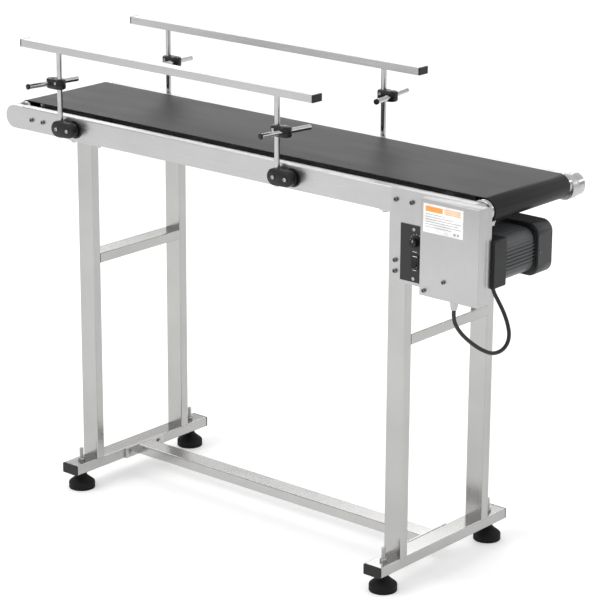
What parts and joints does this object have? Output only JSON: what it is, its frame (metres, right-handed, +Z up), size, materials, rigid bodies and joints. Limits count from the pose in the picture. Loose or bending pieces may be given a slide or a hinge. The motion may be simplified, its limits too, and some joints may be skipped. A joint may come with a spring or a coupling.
{
  "type": "belt conveyor section",
  "caption": "Motorised belt conveyor section on a tubular stand, with two adjustable guide bars, levelling feet and a gear motor with a speed control.",
  "frame": {"origin": "centre of the footprint, on the floor", "axes": "+X along the belt to the drive end, +Y away from the control side, +Z up"},
  "size_m": [1.5, 0.5341, 1.125],
  "materials": {
    "rail_aluminium": "satin anodised, pale grey",
    "sheet_steel": "fine brushed sheet",
    "tube_steel": "polished stainless tube with a fine grain",
    "belt_pvc": "matte dark grey coated belt",
    "belt_rubber": "matte",
    "bright_steel": "bright turned steel",
    "fastener_steel": "plated",
    "pulley_aluminium": "turned",
    "black_plastic": "moulded, slightly glossy",
    "label_paper": "printed film with a plain coloured band",
    "motor_paint": "dark grey paint",
    "cable_rubber": "smooth sheath",
    "foot_rubber": "moulded pad with a plated stud"
  },
  "bodies": {
    "frame": {"front_rail": "rail_aluminium", "rear_rail": "rail_aluminium", "slider_bed": "sheet_steel", "cross_braces": "tube_steel", "conveyor_belt": "belt_pvc", "nose_blocks": "rail_aluminium", "drive_end_blocks": "rail_aluminium", "drive_bearings": "bright_steel", "nose_axle": "bright_steel", "rail_screws": "fastener_steel", "front_legs": "tube_steel", "rear_legs": "tube_steel", "tie_tubes": "tube_steel", "foot_beams": "tube_steel", "beam_end_caps": "black_plastic", "leg_top_plates": "tube_steel", "leg_plate_bolts": "fastener_steel", "lower_tube": "tube_steel", "tube_flanges": "tube_steel", "flange_bolts": "fastener_steel", "side_plate": "sheet_steel", "plate_screws": "fastener_steel", "control_panel": "black_plastic", "drive_cover": "sheet_steel", "cover_screws": "fastener_steel", "rating_label": "label_paper", "gearbox": "motor_paint", "motor_body": "motor_paint", "fan_cover": "motor_paint", "cable_glands": "fastener_steel", "motor_cable": "cable_rubber", "timing_belt": "belt_rubber", "clamp_bases": "black_plastic", "lower_clamps": "black_plastic", "clamp_bolts": "fastener_steel", "leveling_nuts": "fastener_steel"},
    "drive_roller": {"drive_roller": "bright_steel", "drive_shaft": "bright_steel", "driven_pulley": "pulley_aluminium"},
    "nose_roller": {"nose_roller": "bright_steel"},
    "motor_pulley": {"motor_pulley": "pulley_aluminium", "output_shaft": "bright_steel"},
    "speed_knob": {"speed_knob": "black_plastic"},
    "power_switch": {"power_switch": "black_plastic"},
    "front_guide": {"front_guide_bar": "rail_aluminium", "front_bar_caps": "black_plastic", "front_posts": "bright_steel", "front_upper_clamps": "black_plastic"},
    "rear_guide": {"rear_guide_bar": "rail_aluminium", "rear_bar_caps": "black_plastic", "rear_posts": "bright_steel", "rear_upper_clamps": "black_plastic"},
    "cross_rod_front_left": {"cross_rod_front_left": "bright_steel"},
    "cross_rod_front_right": {"cross_rod_front_right": "bright_steel"},
    "cross_rod_rear_left": {"cross_rod_rear_left": "bright_steel"},
    "cross_rod_rear_right": {"cross_rod_rear_right": "bright_steel"},
    "foot_front_left": {"foot_front_left": "foot_rubber"},
    "foot_front_right": {"foot_front_right": "foot_rubber"},
    "foot_rear_left": {"foot_rear_left": "foot_rubber"},
    "foot_rear_right": {"foot_rear_right": "foot_rubber"}
  },
  "joints": [
    {"name": "drive_spin", "type": "hinge", "parent": "frame", "child": "drive_roller", "pos_m": [0.697, 0, 0.926], "axis": [0, 1, 0], "continuous": true},
    {"name": "nose_spin", "type": "hinge", "parent": "frame", "child": "nose_roller", "pos_m": [-0.712, 0, 0.926], "axis": [0, 1, 0], "continuous": true},
    {"name": "motor_spin", "type": "hinge", "parent": "frame", "child": "motor_pulley", "pos_m": [0.69, 0, 0.835], "axis": [0, 1, 0], "continuous": true},
    {"name": "knob_turn", "type": "hinge", "parent": "frame", "child": "speed_knob", "pos_m": [0.546, -0.183, 0.836], "axis": [0, 1, 0], "range_deg": [0, 270]},
    {"name": "switch_rock", "type": "hinge", "parent": "frame", "child": "power_switch", "pos_m": [0.542, -0.183, 0.79], "axis": [1, 0, 0], "range_deg": [0, 16]},
    {"name": "front_guide_lift", "type": "slide", "parent": "frame", "child": "front_guide", "axis": [0, 0, 1], "range_m": [-0.04, 0.03]},
    {"name": "rear_guide_lift", "type": "slide", "parent": "frame", "child": "rear_guide", "axis": [0, 0, 1], "range_m": [-0.04, 0.03]},
    {"name": "cross_rod_front_left_slide", "type": "slide", "parent": "front_guide", "child": "cross_rod_front_left", "axis": [0.1564, 0.9877, 0], "range_m": [-0.04, 0.04]},
    {"name": "cross_rod_front_right_slide", "type": "slide", "parent": "front_guide", "child": "cross_rod_front_right", "axis": [0.1564, 0.9877, 0], "range_m": [-0.04, 0.04]},
    {"name": "cross_rod_rear_left_slide", "type": "slide", "parent": "rear_guide", "child": "cross_rod_rear_left", "axis": [0, 1, 0], "range_m": [-0.04, 0.04]},
    {"name": "cross_rod_rear_right_slide", "type": "slide", "parent": "rear_guide", "child": "cross_rod_rear_right", "axis": [-0.1564, 0.9877, 0], "range_m": [-0.04, 0.04]},
    {"name": "foot_front_left_level", "type": "slide", "parent": "frame", "child": "foot_front_left", "axis": [0, 0, 1], "range_m": [-0.025, 0]},
    {"name": "foot_front_right_level", "type": "slide", "parent": "frame", "child": "foot_front_right", "axis": [0, 0, 1], "range_m": [-0.025, 0]},
    {"name": "foot_rear_left_level", "type": "slide", "parent": "frame", "child": "foot_rear_left", "axis": [0, 0, 1], "range_m": [-0.025, 0]},
    {"name": "foot_rear_right_level", "type": "slide", "parent": "frame", "child": "foot_rear_right", "axis": [0, 0, 1], "range_m": [-0.025, 0]}
  ],
  "couplings": [
    {"joint": "nose_spin", "follows": "drive_spin", "ratio": 1},
    {"joint": "motor_spin", "follows": "drive_spin", "ratio": 0.65035}
  ]
}
